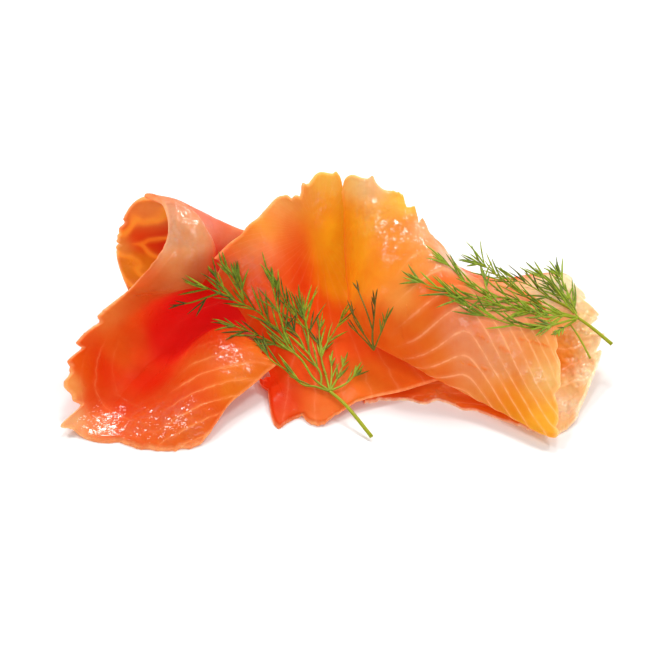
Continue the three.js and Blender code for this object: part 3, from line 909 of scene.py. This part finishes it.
rightSlice = {
    "name": "rightSlice",
    "node": "slice_right",
    "slot": "salmon_right",
    "seed": 23,
    "steps": (340, 220),
    "thickness": 2.1,
    "feather": {  # the edge's width, and how far it sinks from its back end to its front end
        "first": (15.0, [1.9, 1.5, 1.2, 1.8, 2.8, 3.0, 2.3, 1.4, 0.8])},
    "surface": cageSurface([
        [[2, 43, 51], [2, 37, 36], [2, 30, 17.5], [2, 20, 15.5], [3, 13, 14], [7, 17, 12]],
        [[15, 41, 53], [13, 27, 43], [11, 10, 32], [10, 0, 26], [11, -2, 17], [16, 8, 12.5]],
        [[25, 35, 50], [25, 20, 44], [22, 2, 36], [20, -8, 26], [21, -7, 13.5], [25, 2, 10.5]],
        [[35, 21, 43], [35, 5, 42], [33, -9, 36], [31, -15, 23], [33, -14, 11], [36, -8, 8.5]],
        [[43, 12, 36], [46, -2, 37], [46, -14, 31], [45, -19, 18], [47, -22, 8], [50, -15, 6]],
        [[56, 10, 30], [58, -3, 31], [60, -15, 25], [58, -22, 14], [60, -31, 6.5], [62, -25, 5]],
        [[69, 10, 25], [70, -5, 25], [72, -17, 18], [71, -28, 10], [71, -39, 5.5], [72, -34, 4.5]],
        [[75, 4, 20], [76, -8, 20], [77, -21, 16], [76, -29, 9], [75, -40, 5.5], [75, -37, 5]]]),
    "tears": {
        "low": [[0, 0.014, 0.06], [0.05, 0.03, -0.02], [0.13, 0.012, -0.02], [0.19, 0.05, 0.035],
                [0.280, 0.008, -0.02], [0.297, 0.010, 0.045], [0.312, 0.010, 0.02], [0.336, 0.006, -0.012],
                [0.347, 0.006, 0.055], [0.356, 0.008, 0.03], [0.42, 0.03, 0.03], [0.62, 0.03, 0.03]],
        "high": [],
        "first": [[0.5, 0.2, 0.01]],
        "last": [[0.3, 0.03, 0.03], [0.55, 0.03, 0.04], [0.75, 0.02, 0.03]]},
    "bites": {"low": 0.6, "high": 0.4, "first": 0.1, "last": 1.0},
    "calmHigh": [],
    "swell": {"broad": 0.35, "ruffle": 0.4, "crinkle": 0.30, "groove": 0.12},
    "stripes": rightStripes,
    "bulge": noBulge,
    "paleEdges": {"low": 1.2, "last": 2.4},
    "base": "#ef7c34",
    "tones": [
        [4, 39, 53, 5, "#fad07c"],
        [14, 39, 51, 6, "#f2c29c"],
        [24, 33, 49, 6, "#f6b846"],
        [7, 33, 44, 7, "#f49c18"],  # amber upper part, partly a painted glow of light shining through
        [17, 29, 46, 6, "#f0a04c"],
        [10, 24, 39, 7, "#f2981a"],
        [24, 16, 42, 8, "#ec8a24"],
        [7, 17, 28, 8, "#fa9a14"],
        [17, 6, 35, 7, "#f08a18"],
        [32, 19, 44, 5, "#f4be9e"],  # pale pink rolled edge, its pink partly a painted sheen where it faces up
        [39, 9, 41, 5, "#f8c0ae"],
        [31, 8, 42, 6, "#ec8c40"],
        [24, -1, 35, 7, "#f2964c"],
        [34, -5, 38, 6, "#ee5e18"],
        [5, 11, 21, 7, "#f27616"],
        [13, -5, 24, 7, "#f45e14"],
        [22, -10, 22, 7, "#ec5e18"],
        [30, -12, 30, 7, "#e86a20"],
        # pinker and paler where the slice faces up: painted sheen
        [42, -14, 32, 6, "#ec8464"],
        [49, -17, 25, 7, "#f0906c"],
        [30, -15, 20, 6, "#e8641a"],
        [39, -18, 14, 7, "#f07428"],
        [47, -20, 17, 6, "#f49a74"],
        [57, -18, 20, 7, "#f2a070"],
        [66, -15, 21, 6, "#f09450"],
        [72, -12, 20, 5, "#f09e5e"],
        [58, -6, 29, 9, "#f4a482"],
        [50, -24, 9, 7, "#ee8840"],
        [61, -25, 11, 7, "#ec821c"],
        [63, -31, 8, 6, "#f0961e"],
        [71, -24, 14, 6, "#f4bc7c"],
        [72, -34, 7, 7, "#f6ae34"]],
    "shine": [
        [12, 31, 45, 9, 0.7],
        [22, 22, 44, 9, 0.8],
        [33, 17, 44, 7, 1.0],
        [38, 8, 41, 6, 1.0],
        [45, -13, 33, 5, 0.5],
        [57, -18, 20, 8, 0.5],
        [69, -21, 15, 5, 0.9]],
    "material": lambda: fleshMaterial("salmonRight", {
        "stripes": {"Line Width": 0.09, "Waver": 0.12},
        "tone": {
            "Line Strength": 0.24, "Rim Strength": 0.75, "Mottling": 0.55,
            # the dark band colour paints the shade inside the splits
            "Band Colour": (0.60, 0.13, 0.015, 1)},
        "wet": {"Roughness Low": 0.25, "Roughness High": 0.48},
        "bumpStrength": 0.45, "bumpDepth": 0.0007, "subsurface": 0.6, "subsurfaceDepth": 0.0024})}


# ---- the lowest slice: a mound under the others, its pale end showing at the right

def underStripes(points, u, v, lengthAlong, lengthAcross):
    x = points[..., 0]
    phase = (v * lengthAcross + 0.5 * np.abs(x - 60)) / 8.0
    return phase, x, 0.3 + 0.3 * smoothStep((x - 70) / 10), np.zeros_like(u)


underSlice = {
    "name": "underSlice",
    "node": "slice_under",
    "slot": "salmon_under",
    "seed": 37,
    "steps": (340, 220),
    "thickness": 2.1,
    "feather": {},
    "surface": moundSurface([
        [-3, -29, 1, 50, 33, 58, 8],
        [13, -18, 1, 49, 34, 59, 8],
        [29, -17, 1, 34, 35, 55, 3.4],
        [44, -20, 1, 19, 24, 46, 3],
        [59, -28, 1, 20, 18, 42, 2.6],
        [74, -35, 1, 22, 19.5, 43, 2.6],
        [84, -26, 3, 20, 21, 41, 2.2],
        [94, -8, 9, 15, 17, 36, 1.6]], 0.68),
    "tears": {
        "low": [[0.25, 0.035, -0.02], [0.32, 0.03, 0.02], [0.43, 0.03, -0.03]],
        "high": [[0.2, 0.06, 0.02], [0.55, 0.08, 0.03], [0.8, 0.06, 0.03]],
        "first": [[0, 0.1, 0.12], [1, 0.12, 0.12]],
        "last": [[0, 0.1, 0.16], [0.25, 0.03, 0.03], [0.33, 0.02, -0.02], [0.44, 0.03, 0.04],
                 [0.55, 0.02, -0.015], [0.62, 0.02, 0.03], [1, 0.3, 0.22]]},
    "bites": {"low": 0.5, "high": 1.0, "first": 0.8, "last": 1.4},
    "calmHigh": [],
    "swell": {"broad": 0.5, "ruffle": 0.8, "crinkle": 1.5, "groove": 0.25},
    "stripes": underStripes,
    "bulge": noBulge,
    "paleEdges": {"low": 0.3, "last": 3.0, "high": 1.5},
    "base": "#ec6a2a",
    "tones": [
        # the front strip, redder where the slices above shade it: painted shade
        [9, -20, 1, 8, "#e85a24"],
        [24, -16, 1, 8, "#de4612"],
        [37, -17, 2, 7, "#e46222"],
        [50, -21, 1, 8, "#f05e12"],
        [63, -30, 1, 7, "#ea6214"],
        [77, -31, 1, 5, "#f4c090"],
        [79, -22, 2, 5, "#f8d8c0"],  # the pale end, partly a painted glow through its thin edges
        [82, -15, 4, 5, "#f4bc80"],
        [81, -5, 8, 5, "#ea7a20"],
        [84, -2, 11, 5, "#f09840"],
        [91, -3, 10, 5, "#fadcbc"],
        [89, -11, 6, 5, "#fde4cc"],
        [88, 8, 16, 6, "#f6d0a0"],
        [80, 6, 16, 6, "#f4a050"],
        # lightened past the flesh's colour where the top edge faces away: painted light
        [84, 19, 20, 7, "#ffecd4"],
        [74, 18, 20, 7, "#ffe2c4"],
        [64, 16, 18, 7, "#f6b490"]],
    "shine": [
        [88, 4, 14, 9, 1.0],
        [87, -9, 8, 8, 1.0],
        [79, -24, 3, 6, 0.8],
        [84, 18, 20, 6, 0.5],
        [36, -17, 2, 5, 0.5]],
    "material": lambda: fleshMaterial("salmonUnder", {
        "stripes": {"Line Width": 0.08, "Waver": 0.4},
        "tone": {
            "Line Strength": 0.3, "Rim Strength": 0.9, "Mottling": 0.6,
            "Rim Colour": (1.0, 0.66, 0.42, 1)},
        "wet": {"Roughness Low": 0.22, "Roughness High": 0.45},
        "bumpStrength": 0.55, "bumpDepth": 0.0008, "subsurface": 0.6, "subsurfaceDepth": 0.0024})}

slicePieces = [curledSlice, centreSlice, rightSlice, underSlice]
origin = heapOrigin(slicePieces)
print("heap origin", [round(float(c), 2) for c in origin])
slices = [buildSlice(slicePiece, origin) for slicePiece in slicePieces]


# ---- dill: stems, branches and spindle-shaped leaflets, laid on the slices

def smoothLine(points, steps):
    rows = np.array(points, float)
    padded = extendEnds(rows, 0)
    at, weight = splineSteps(np.linspace(0, 1, steps), len(rows))
    return sum(weight[:, i, None] * padded[at + i] for i in range(4))


def sheetTrees(objects):
    trees = []
    for obj in objects:
        corners = [vertex.co for vertex in obj.data.vertices]
        trees.append(BVHTree.FromPolygons(corners, [tuple(face.vertices) for face in obj.data.polygons]))
    return trees


def sinkDepth(point):
    # how far the point must come out along the slant to clear the slices and the table, in mm
    place = Vector(toFrame(point, origin))
    start = place + Vector(slant) * 0.1
    sink = (0.5 - point[2]) / slant[2]
    for tree in heapTrees:
        hit = tree.ray_cast(start, -Vector(slant), 0.2)[0]
        if hit is not None:
            sink = max(sink, (hit - place).dot(Vector(slant)) / metre + 0.5)
    return sink


def clearOfSlices(line):
    sink = np.array([sinkDepth(point) for point in line])
    along = runLengths(np.array(line)[:, None], 0)[:, 0]
    apart = np.abs(along[:, None] - along[None, :])
    lift = np.maximum((sink[None, :] - 0.7 * apart).max(axis=1), 0)
    return line + slant * lift[:, None]


class ThreadMesh:
    def __init__(self):
        self.points = []
        self.faces = []
        self.stemness = []
        self.tone = []

    def addThread(self, line, radii, stemness, tone, sides=6):
        line = clearOfSlices(np.asarray(line, float))
        tangents = np.gradient(line, axis=0)
        tangents /= np.linalg.norm(tangents, axis=1, keepdims=True) + 1e-9
        first = len(self.points)
        count = len(line)
        for centre, tangent, radius in zip(line, tangents, radii):
            sideways = np.cross(tangent, leafFacing)
            sideways /= np.linalg.norm(sideways) + 1e-9
            upward = np.cross(sideways, tangent) * 0.75
            for k in range(sides):
                angle = 2 * math.pi * k / sides
                self.points.append(centre + (sideways * math.cos(angle) + upward * math.sin(angle)) * radius)
                self.stemness.append(stemness)
                self.tone.append(tone)
        for ring in range(count - 1):
            for k in range(sides):
                a = first + ring * sides + k
                b = first + ring * sides + (k + 1) % sides
                self.faces.append((a, b, b + sides, a + sides))
        self.faces.append(tuple(first + k for k in reversed(range(sides))))
        self.faces.append(tuple(first + (count - 1) * sides + k for k in range(sides)))
        return line


def turnAbout(direction, axis, angle):
    axis = axis / np.linalg.norm(axis)
    cosine = math.cos(angle)
    turned = direction * cosine + np.cross(axis, direction) * math.sin(angle)
    turned = turned + axis * np.dot(axis, direction) * (1 - cosine)
    return turned / np.linalg.norm(turned)


def addLeaflet(threads, base, direction, length, look, rng, tone):
    bend = np.cross(direction, leafFacing) * rng.uniform(-0.18, 0.18)
    t = np.linspace(0, 1, 9)[:, None]
    line = base + direction * length * t + bend * length * t ** 2
    width = look["leafWidth"] * rng.uniform(0.8, 1.25)
    radii = width * (0.55 + 0.45 * np.sin(math.pi * t[:, 0])) * np.sqrt(1.0001 - t[:, 0] ** 4)
    return threads.addThread(line, radii, 0.0, tone)


def addPinna(threads, base, direction, length, look, rng, tone):
    # every second long leaflet or so has a shorter one beside it, at a small angle
    spine = addLeaflet(threads, base, direction, length, look, rng, tone)
    sign = rng.choice((-1, 1))
    if length > 6.0 and rng.integers(0, 2) == 1:
        turned = turnAbout(direction, leafFacing, sign * rng.uniform(0.20, 0.36))
        size = length * rng.uniform(0.5, 0.8)
        addLeaflet(threads, spine[1], turned, size, look, rng, tone + rng.uniform(-0.15, 0.15))


def addBranch(threads, branch, look, rng):
    line = smoothLine(branch["points"], 7 * len(branch["points"]))
    length = lineLength(line)
    tone = branch.get("tone", look["tone"])
    radii = np.linspace(look["branchWidth"], look["leafWidth"] * 0.6, len(line))
    line = threads.addThread(line, radii, 0.55, tone + 0.1)
    tangents = np.gradient(line, axis=0)
    tangents /= np.linalg.norm(tangents, axis=1, keepdims=True)
    bare = branch.get("bare", 0.12)
    nodeCount = max(2, int(length * (1 - bare) / look["nodeSpacing"]))
    for n in range(nodeCount):
        share = bare + (1 - bare) * (n + rng.uniform(0.1, 0.7)) / nodeCount
        at = min(len(line) - 1, int(share * (len(line) - 1)))
        for sign in (-1, 1):
            if rng.random() > (0.95 if sign == branch["side"] else branch.get("otherSide", 0.5)):
                continue
            direction = turnAbout(tangents[at], leafFacing, sign * rng.uniform(*look["spread"]))
            direction = direction + leafFacing * rng.uniform(-0.02, 0.14)
            direction /= np.linalg.norm(direction)
            size = look["leafScale"] * branch["leaf"] * (1 - 0.30 * share) * rng.uniform(0.7, 1.15)
            addPinna(threads, line[at], direction, size, look, rng, tone + rng.uniform(-0.4, 0.4))
    for at, turn in look["tips"]:
        size = look["leafScale"] * branch["leaf"] * rng.uniform(0.42, 0.62)
        direction = turnAbout(tangents[at], leafFacing, turn + rng.uniform(-0.06, 0.06))
        addLeaflet(threads, line[at], direction, size, look, rng, tone + rng.uniform(-0.3, 0.3))


def buildSprig(sprig, origin):
    rng = np.random.default_rng(sprig["seed"])
    threads = ThreadMesh()
    look = sprig["look"]
    stem = smoothLine(sprig["stem"], 5 * len(sprig["stem"]))
    radii = np.linspace(look["stemWidth"], look["stemWidth"] * 0.75, len(stem))
    threads.addThread(stem, radii, 1.0, 0.5, sides=10)
    for branch in sprig["branches"]:
        addBranch(threads, branch, look, rng)
    mesh = bpy.data.meshes.new(sprig["name"])
    mesh.from_pydata(toFrame(threads.points, origin).tolist(), [], threads.faces)
    mesh.shade_smooth()
    addAttribute(mesh, "stemness", "FLOAT", threads.stemness)
    addAttribute(mesh, "tone", "FLOAT", threads.tone)
    mesh.materials.append(sprig["material"])
    standIn(mesh, sprig)
    print("sprig", sprig["name"], len(threads.points), "points")


heapTrees = sheetTrees(slices)
leafFacing = np.array([0.05, -0.62, 0.78])  # the sprigs lie flat on the heap's front

freshDill = dillMaterial("dillFresh", {
    "Leaf Colour": (0.150, 0.220, 0.010, 1),
    "Light Colour": (0.300, 0.400, 0.020, 1),
    "Stem Colour": (0.330, 0.360, 0.010, 1),
    "Shade Colour": (0.060, 0.085, 0.008, 1)})
darkDill = dillMaterial("dillDark", {
    "Leaf Colour": (0.095, 0.078, 0.003, 1),
    "Light Colour": (0.170, 0.200, 0.010, 1),
    "Stem Colour": (0.160, 0.140, 0.010, 1),
    "Shade Colour": (0.045, 0.030, 0.002, 1)})

dillLook = {
    "stemWidth": 0.70,
    "branchWidth": 0.42,
    "leafWidth": 0.33,
    "nodeSpacing": 4.4,
    "leafScale": 1.75,
    "tone": 0.5,
    "spread": (0.22, 0.46),
    "tips": ((-2, -0.05), (-4, 0.14), (-6, -0.20))}

leftSprig = {
    "name": "leftSprig",
    "node": "dill_left",
    "slot": "dill",
    "seed": 5,
    "look": dillLook,
    "material": freshDill,
    "stem": [[13, -37, 1.4], [7, -29, 4.5], [3, -24, 6], [-1, -20, 7]],
    "branches": [
        {"side": -1, "leaf": 8.0, "otherSide": 0.2, "points": [  # lowest, to the left
            [-1, -20, 7], [-6, -17.5, 7], [-10, -16.5, 7], [-14, -13, 8], [-17, -10, 9],
            [-21, -9.5, 12], [-24, -6, 14]]},
        {"side": -1, "leaf": 8.5, "points": [  # the longest, up to the roll
            [-1, -20, 7], [-6.5, -15, 8.5], [-10.5, -9, 11.5], [-15, -4.5, 13.5], [-18, -0.5, 16.5],
            [-22.5, 4, 18.5],
            [-25, 6.5, 20], [-29, 9, 21], [-33, 10.5, 22], [-36.5, 11.3, 24], [-40, 12, 25.5],
            [-46, 13.3, 26.5]]},
        {"side": -1, "leaf": 8.0, "bare": 0.3, "points": [
            [-31, 10.5, 23], [-34, 13, 27.5], [-37.5, 16, 32]]},
        {"side": 1, "leaf": 7.0, "bare": 0.3, "points": [
            [-31, 10.5, 23], [-32, 12, 27], [-33.5, 14.5, 31]]},
        {"side": -1, "leaf": 6.0, "bare": 0.3, "points": [[-36, 11.3, 24], [-38.5, 13, 27], [-41, 15, 30]]},
        # darker tone: painted shade on the leaflets that hang over the bowl
        {"side": 1, "leaf": 6.5, "tone": -0.1, "otherSide": 0.1, "points": [
            [-39, 12, 25], [-44, 12, 23], [-49, 10.5, 22], [-52, 9.5, 22]]},
        {"side": 1, "leaf": 7.0, "points": [
            [-15, -5, 13], [-19, -2, 12.5], [-23, 1.5, 12.5], [-27, 4, 13], [-31.5, 5.5, 14],
            [-38, 7.5, 15.5]]},
        {"side": -1, "leaf": 8.5, "points": [
            [-4, -17, 7.5], [-4.3, -12.5, 9], [-8, -6, 12], [-8.7, 2, 15.5], [-11, 4, 17.5], [-14.7, 7, 22],
            [-17, 8, 25], [-20, 10.5, 30.5]]},
        {"side": 1, "leaf": 8.0, "bare": 0.3, "points": [
            [-8.7, 2, 15.5], [-9.5, 5, 18], [-11, 9.5, 22]]},
        {"side": -1, "leaf": 8.0, "points": [
            [-15, -3.5, 14.5], [-16.5, -1, 16.5], [-17.5, 1.5, 19.5], [-19, 4.5, 23.5],
            [-20, 7.5, 27], [-23, 13.5, 35]]},
        {"side": 1, "leaf": 6.0, "tone": 0.0, "bare": 0.3, "points": [
            [-9.8, -4.5, 12.8], [-11.5, -1, 15], [-14.5, 1, 18]]},
        {"side": -1, "leaf": 6.5, "bare": 0.35, "tone": 0.7, "points": [
            [-1, -20, 7], [-2.4, -13, 8.5], [-3.8, -7.5, 10.5], [-3.4, -3.2, 11.5], [-0.3, 3, 13],
            [4, 8.5, 18]]},
        {"side": -1, "leaf": 6.0, "bare": 0.5, "points": [
            [-2.4, -13, 8.5], [-3.8, -7.5, 10.5], [-4.6, 0, 13.5], [-4.8, 6, 16]]},
        {"side": -1, "leaf": 5.0, "bare": 0.3, "tone": 0.7, "points": [
            [-0.8, -19.5, 7], [-0.4, -13, 9], [-0.6, -7.5, 10.5]]},
        {"side": 1, "leaf": 5.0, "bare": 0.3, "tone": 0.7, "points": [
            [-0.8, -19.5, 7], [2, -14, 9], [4.2, -7, 10]]},
        {"side": 1, "leaf": 5.0, "bare": 0.3, "tone": 0.8, "points": [
            [-0.5, -19.5, 7], [4.5, -17, 8], [8.5, -12, 9]]}]}

middleSprig = {
    "name": "middleSprig",
    "node": "dill_middle",
    "slot": "dill_dark",
    "seed": 8,
    "look": {
        **dillLook, "leafWidth": 0.29, "stemWidth": 0.42, "branchWidth": 0.3, "nodeSpacing": 8.0,
        "spread": (0.14, 0.26), "tips": ((-2, 0.03),)},
    "material": darkDill,
    "stem": [[14, -10, 17], [13.5, -9.5, 21], [13.5, -9, 25]],
    "branches": [
        {"side": -1, "otherSide": 0.1, "leaf": 6.5, "bare": 0.30, "points": [
            [13.5, -9, 25], [11.5, -5.5, 30], [9.5, 2, 31], [8.5, 6, 31]]},
        {"side": 1, "otherSide": 0.1, "leaf": 5.5, "bare": 0.2, "points": [
            [13.5, -9, 25], [14, -7, 29.5], [14.5, -3.5, 34]]},
        {"side": -1, "otherSide": 0.1, "leaf": 6.5, "bare": 0.30, "points": [
            [14, -10, 17], [11.5, -8.5, 21], [8, -4, 24], [6.5, 0, 26]]},
        {"side": -1, "otherSide": 0.1, "leaf": 5.0, "bare": 0.30, "tone": 0.8, "points": [
            [14, -10, 17], [10.5, -7, 19.5], [7, -4, 21.5]]},
        {"side": 1, "otherSide": 0.1, "leaf": 6.0, "bare": 0.40, "tone": 0.9, "points": [
            [14, -10, 17], [16, -10.5, 24], [18.5, -9.5, 31]]}]}

rightSprig = {
    "name": "rightSprig",
    "node": "dill_right",
    "slot": "dill",
    "seed": 13,
    # a paler tone, partly a painted sheen on this sprig
    "look": {**dillLook, "nodeSpacing": 3.6, "tone": 0.75},
    "material": freshDill,
    "stem": [[96.5, -3, 14], [90.5, 2.5, 16.5], [85.5, 6, 18.5]],
    "branches": [
        {"side": -1, "leaf": 8.5, "otherSide": 0.25, "points": [  # along the front
            [85.5, 6, 18.5], [77.5, -1, 21.5], [73, -6, 24], [67.6, -10, 26.5], [61, -11.3, 29],
            [54.5, -12, 32],
            [48.5, -12, 34.5], [42, -10, 38]]},
        {"side": -1, "leaf": 9.0, "points": [  # up and out over the back
            [85.5, 6, 18.5], [79, 6, 21], [72.5, 4, 25], [67, 4.6, 28.5], [59, 6.5, 33.5], [54, 9, 37],
            [49.5, 10.5, 39.3]]},
        {"side": -1, "leaf": 8.5, "points": [  # the longest, to the left
            [72, 3.8, 25], [66.6, 1.5, 28.6], [58, -1, 32.7], [52.7, -4, 35.5], [48, -7.5, 37],
            [43, -8.4, 38.4],
            [38, -7, 40.2], [32, -4.8, 40.8], [28.5, -2, 40.6]]},
        {"side": -1, "leaf": 8.0, "bare": 0.3, "points": [
            [52.6, -3.4, 35.5], [52, 1.5, 36], [51.5, 6, 36.5]]},
        {"side": -1, "leaf": 8.0, "points": [
            [52.7, -4, 35.5], [47.7, -3, 38], [44, -0.7, 39.8], [41, 2.5, 41.8], [38.0, 4.4, 43.2]]},
        {"side": -1, "leaf": 8.0, "points": [
            [85.5, 6, 18.5], [83.7, 9.5, 20], [81.5, 13, 21.5], [77, 17, 22.5]]},
        {"side": 1, "leaf": 7.5, "tone": 0.7, "points": [
            [85, 8, 19], [83.2, 13, 21.7], [81, 20, 24], [79.5, 22.5, 25.5]]},
        {"side": -1, "leaf": 8.0, "points": [[82.5, 13, 21.6], [79, 17.5, 22.8], [73, 23, 25]]},
        {"side": -1, "leaf": 8.5, "tone": 0.6, "points": [
            [84.2, 8, 19], [81.5, 10.5, 20.5], [76, 14, 21.5], [72, 17, 22.5], [68, 18.5, 24],
            [59.5, 19.5, 26.5]]},
        {"side": -1, "leaf": 8.0, "otherSide": 0.8, "points": [
            [84, 5.5, 19], [79.5, 4, 21], [73, -1, 24.5], [66, -4.2, 28.8], [59, -6.4, 31.8],
            [53, -7, 35]]},
        {"side": -1, "leaf": 7.0, "otherSide": 0.8, "tone": 0.75, "points": [
            [82, 6, 19.5], [74, 2, 24], [68, -1.5, 28], [62, -3.5, 31]]},
        {"side": 1, "leaf": 5.0, "bare": 0.3, "tone": 0.8, "points": [
            [84.5, 5, 18.3], [79.5, 0, 18.8], [76, -3.5, 19.2]]}]}

smallSprig = {
    "name": "smallSprig",
    "node": "dill_right_small",
    "slot": "dill",
    "seed": 17,
    "look": {**dillLook, "stemWidth": 0.40, "branchWidth": 0.3, "leafWidth": 0.26, "nodeSpacing": 3.0},
    "material": freshDill,
    "stem": [[88.8, -7.5, 11.3], [85.5, -0.5, 14.8], [82.6, 3.6, 17.4]],
    "branches": [{"side": 1, "leaf": 4.0, "bare": 0.3, "points": [
        [82.6, 3.6, 17.4], [80, 0, 19], [78, -3, 20]]}]}

for sprigPiece in (leftSprig, middleSprig, rightSprig, smallSprig):
    buildSprig(sprigPiece, origin)


# ---- floor, light and camera

studio = {
    "target": (-2, -1, 20),  # in the cages' millimetres
    "elevation": 38.0,
    "distance": 626.0,
    "lens": 100.0,
    "floorColour": (0.93, 0.93, 0.93, 1),
    "skyStrength": 0.46,
    "boxSize": (0.19, 0.19),
    "softBoxes": [  # place in metres, and power
        (-0.50, 0.05, 0.85, 2.3),
        (0.50, 0.15, 0.85, 2.3),
        (0.10, 0.36, 0.95, 2.5),
        (-0.15, 0.66, 0.68, 3.2)]}


def buildFloor():
    mesh = bpy.data.meshes.new("floor")
    size = 6.0
    corners = [(-size, -size, 0), (size, -size, 0), (size, size, 0), (-size, size, 0)]
    mesh.from_pydata(corners, [], [(0, 1, 2, 3)])
    floor = bpy.data.objects.new("floor", mesh)
    bpy.context.scene.collection.objects.link(floor)
    material, tree, shader = newMaterial("paleTable")
    place = objectPlace(tree)
    tint = rangeNode(tree, noiseNode(tree, place, 3.0, 2.0), 0.3, 0.7)
    colour = mixColour(tree, tint, (0.92, 0.92, 0.92, 1), studio["floorColour"])
    tree.links.new(colour, shader.inputs["Base Color"])
    shader.inputs["Roughness"].default_value = 0.9
    shader.inputs["Specular IOR Level"].default_value = 0.0
    mesh.materials.append(material)


def addAreaLight(name, place, size, power):
    aim = (0, 0, 0.02)
    light = bpy.data.lights.new(name, "AREA")
    light.shape = "RECTANGLE"
    light.size = size[0]
    light.size_y = size[1]
    light.energy = power
    obj = bpy.data.objects.new(name, light)
    obj.location = place
    obj.rotation_euler = (Vector(aim) - Vector(place)).to_track_quat("-Z", "Y").to_euler()
    bpy.context.scene.collection.objects.link(obj)


def buildStudio():
    world = bpy.data.worlds.new("studio")
    world.use_nodes = True
    world.node_tree.nodes["Background"].inputs["Color"].default_value = (1, 1, 1, 1)
    world.node_tree.nodes["Background"].inputs["Strength"].default_value = studio["skyStrength"]
    bpy.context.scene.world = world
    for number, (x, y, z, power) in enumerate(studio["softBoxes"]):
        addAreaLight("softBox%d" % number, (x, y, z), studio["boxSize"], power)
    addAreaLight("frontFill", (0.45, -0.9, 0.65), (0.8, 0.6), 3.4)


def buildCamera(origin):
    data = bpy.data.cameras.new("camera")
    data.lens = studio["lens"]
    data.sensor_width = 36.0
    data.clip_start = 0.01
    camera = bpy.data.objects.new("camera", data)
    target = Vector(toFrame(studio["target"], origin))
    rise = math.radians(studio["elevation"])
    back = Vector((0, -math.cos(rise), math.sin(rise)))
    camera.location = target + back * studio["distance"] * metre
    camera.rotation_euler = (-back).to_track_quat("-Z", "Y").to_euler()
    bpy.context.scene.collection.objects.link(camera)
    bpy.context.scene.camera = camera


buildFloor()
buildStudio()
buildCamera(origin)
bpy.context.scene.view_settings.view_transform = "Standard"
print("studio ready")
